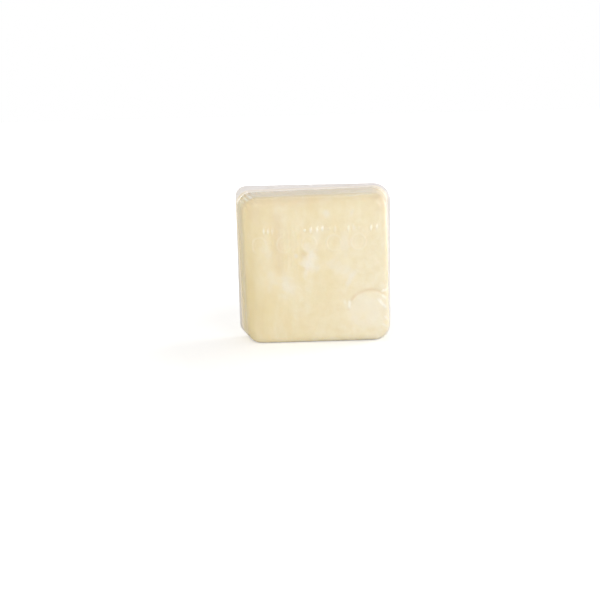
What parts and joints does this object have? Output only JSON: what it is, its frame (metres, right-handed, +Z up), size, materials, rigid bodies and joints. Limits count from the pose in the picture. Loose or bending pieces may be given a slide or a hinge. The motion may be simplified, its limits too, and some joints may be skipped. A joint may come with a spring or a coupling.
{
  "type": "vacuum-packed tulum cheese",
  "caption": "Square slab of pale yellow tulum cheese sealed tight in clear film, with round shoulders and a narrow welded rim, standing on edge.",
  "frame": {"origin": "on the table, under the middle of the pack's box", "axes": "+Z up; the drawn face looks along -Y and the flat lid web faces +Y; +X is to the right of someone who looks at the drawn face"},
  "size_m": [0.134, 0.0334, 0.134],
  "materials": {
    "sealed_cheese": "pale yellow cheese under clear, tight, glossy film"
  },
  "bodies": {
    "root": {"sealed_cheese": "sealed_cheese"}
  },
  "joints": []
}
